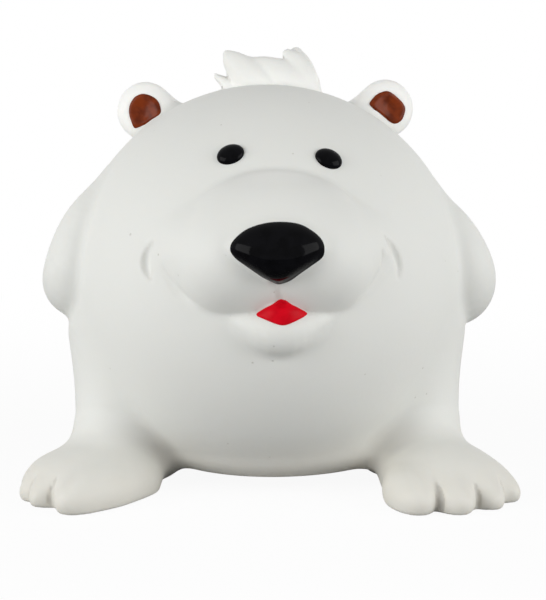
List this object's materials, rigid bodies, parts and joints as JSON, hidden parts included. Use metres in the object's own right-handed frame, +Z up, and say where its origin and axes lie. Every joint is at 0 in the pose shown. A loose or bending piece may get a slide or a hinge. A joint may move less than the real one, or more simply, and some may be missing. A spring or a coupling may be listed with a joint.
{
  "type": "squeaking latex dog toy",
  "caption": "Ball-bodied polar bear dog toy cast in hollow white latex, standing on splayed feet, with painted features and a reed squeaker in its seat.",
  "frame": {"origin": "on the floor, under the middle of the toy's overall width and depth", "axes": "+Z up, the bear looks along -Y, +X is the bear's own left side, and is the widest way across its feet"},
  "size_m": [0.1154, 0.1098, 0.1001],
  "materials": {
    "latex": "matte white cast latex with faint specks",
    "black_paint": "brushed gloss paint",
    "red_paint": "brushed satin paint",
    "brown_paint": "brushed gloss paint",
    "squeaker_plastic": "moulded, slightly see-through",
    "reed_film": "thin springy film"
  },
  "bodies": {
    "toy": {"latex_skin": "latex", "nose_coat": "black_paint", "right_eye_coat": "black_paint", "left_eye_coat": "black_paint", "tongue_coat": "red_paint", "right_ear_coat": "brown_paint", "left_ear_coat": "brown_paint", "squeaker_housing": "squeaker_plastic", "reed_seat": "squeaker_plastic", "reed_wedge": "squeaker_plastic"},
    "reed_blade": {"reed": "reed_film"}
  },
  "joints": [
    {"name": "reed_flutter", "type": "hinge", "parent": "toy", "child": "reed_blade", "pos_m": [0.00184, 0.00807, 0.00655], "axis": [1, 0, 0], "range_deg": [-3, 3], "stiffness_Nm_per_rad": 0.003}
  ]
}
